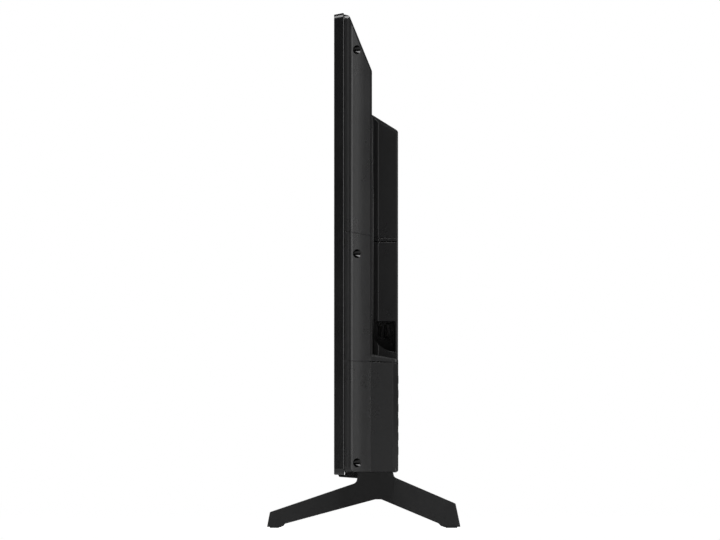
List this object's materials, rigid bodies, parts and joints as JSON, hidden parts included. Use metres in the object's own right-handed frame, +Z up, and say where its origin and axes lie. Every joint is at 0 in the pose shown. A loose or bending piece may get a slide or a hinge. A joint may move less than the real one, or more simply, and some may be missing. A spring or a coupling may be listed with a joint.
{
  "type": "flat screen television",
  "caption": "Flat 32-inch television with a thin sloped back, a central bump, a lower bulge and two splayed feet.",
  "frame": {"origin": "on the floor, under the middle of the set's whole width and depth, feet included", "axes": "+X along the width, towards the right-hand side seen from the front; +Y towards the back; +Z up. The screen faces -Y."},
  "size_m": [0.732, 0.1856, 0.4921],
  "materials": {
    "bezel_plastic": "polished black moulded plastic",
    "screen_glass": "dark anti-glare panel",
    "inner_plastic": "plain black plastic",
    "optical_film": "translucent film",
    "diffuser": "milky plate",
    "pan_steel": "zinc-coated sheet steel",
    "cover_plastic": "black moulded plastic with a fine spark-eroded grain",
    "reflector": "white film",
    "circuit_board": "green lacquered board",
    "clear_lens": "clear moulded lens",
    "bare_aluminium": "extruded",
    "ribbon_film": "white flat cable",
    "cable_sleeve": "black insulated leads",
    "socket_metal": "nickel-plated",
    "smoked_window": "smoked translucent",
    "cone_paper": "coated paper",
    "magnet_steel": "dark sintered",
    "soft_rubber": "soft black rubber",
    "screw_steel": "black zinc",
    "foot_plastic": "black moulded, satin",
    "insert_brass": "turned",
    "key_plastic": "black, smooth"
  },
  "bodies": {
    "television": {"antenna_socket": "socket_metal", "audio_jack": "inner_plastic", "back_chassis": "pan_steel", "board_screws": "screw_steel", "bracket_screws": "screw_steel", "diffuser_plate": "diffuser", "foot_brackets": "pan_steel", "foot_left": "foot_plastic", "foot_pads": "soft_rubber", "foot_right": "foot_plastic", "foot_screws": "screw_steel", "front_bezel": "bezel_plastic", "hdmi_sockets": "socket_metal", "inlet_harness": "cable_sleeve", "inlet_pins": "socket_metal", "key_board": "circuit_board", "key_switches": "inner_plastic", "led_bars": "circuit_board", "led_lenses": "clear_lens", "main_board": "circuit_board", "main_heatsink": "bare_aluminium", "middle_frame": "inner_plastic", "optical_films": "optical_film", "panel_ribbon": "ribbon_film", "power_board": "circuit_board", "power_capacitors": "bare_aluminium", "power_harness": "cable_sleeve", "power_heatsink": "bare_aluminium", "power_inlet": "inner_plastic", "power_transformer": "inner_plastic", "rear_cover": "cover_plastic", "rear_screws": "screw_steel", "reflector_sheet": "reflector", "screen_panel": "screen_glass", "sensor_board": "circuit_board", "sensor_window": "smoked_window", "side_screws": "screw_steel", "signal_harness": "cable_sleeve", "source_board": "circuit_board", "source_films": "ribbon_film", "source_ribbons": "ribbon_film", "speaker_baskets": "pan_steel", "speaker_box_left": "inner_plastic", "speaker_box_right": "inner_plastic", "speaker_grommets": "soft_rubber", "speaker_harness": "cable_sleeve", "speaker_magnets": "magnet_steel", "speaker_screws": "screw_steel", "speaker_surrounds": "soft_rubber", "timing_board": "circuit_board", "usb_socket": "socket_metal", "wall_mount_inserts": "insert_brass"},
    "button_power": {"button_power": "key_plastic"},
    "button_input": {"button_input": "key_plastic"},
    "button_channel_up": {"button_channel_up": "key_plastic"},
    "button_channel_down": {"button_channel_down": "key_plastic"},
    "button_volume_up": {"button_volume_up": "key_plastic"},
    "button_volume_down": {"button_volume_down": "key_plastic"},
    "speaker_cone_left": {"speaker_cone_left": "cone_paper"},
    "speaker_cone_right": {"speaker_cone_right": "cone_paper"}
  },
  "joints": [
    {"name": "power_press", "type": "slide", "parent": "television", "child": "button_power", "axis": [0, -1, 0], "range_m": [0, 0.0008], "stiffness_N_per_m": 1200, "springref_m": -0.0003},
    {"name": "input_press", "type": "slide", "parent": "television", "child": "button_input", "axis": [0, -1, 0], "range_m": [0, 0.0008], "stiffness_N_per_m": 1200, "springref_m": -0.0003},
    {"name": "channel_up_press", "type": "slide", "parent": "television", "child": "button_channel_up", "axis": [0, -1, 0], "range_m": [0, 0.0008], "stiffness_N_per_m": 1200, "springref_m": -0.0003},
    {"name": "channel_down_press", "type": "slide", "parent": "television", "child": "button_channel_down", "axis": [0, -1, 0], "range_m": [0, 0.0008], "stiffness_N_per_m": 1200, "springref_m": -0.0003},
    {"name": "volume_up_press", "type": "slide", "parent": "television", "child": "button_volume_up", "axis": [0, -1, 0], "range_m": [0, 0.0008], "stiffness_N_per_m": 1200, "springref_m": -0.0003},
    {"name": "volume_down_press", "type": "slide", "parent": "television", "child": "button_volume_down", "axis": [0, -1, 0], "range_m": [0, 0.0008], "stiffness_N_per_m": 1200, "springref_m": -0.0003},
    {"name": "left_cone_travel", "type": "slide", "parent": "television", "child": "speaker_cone_left", "axis": [0, 0, 1], "range_m": [-0.001, 0.001], "stiffness_N_per_m": 900},
    {"name": "right_cone_travel", "type": "slide", "parent": "television", "child": "speaker_cone_right", "axis": [0, 0, 1], "range_m": [-0.001, 0.001], "stiffness_N_per_m": 900}
  ]
}
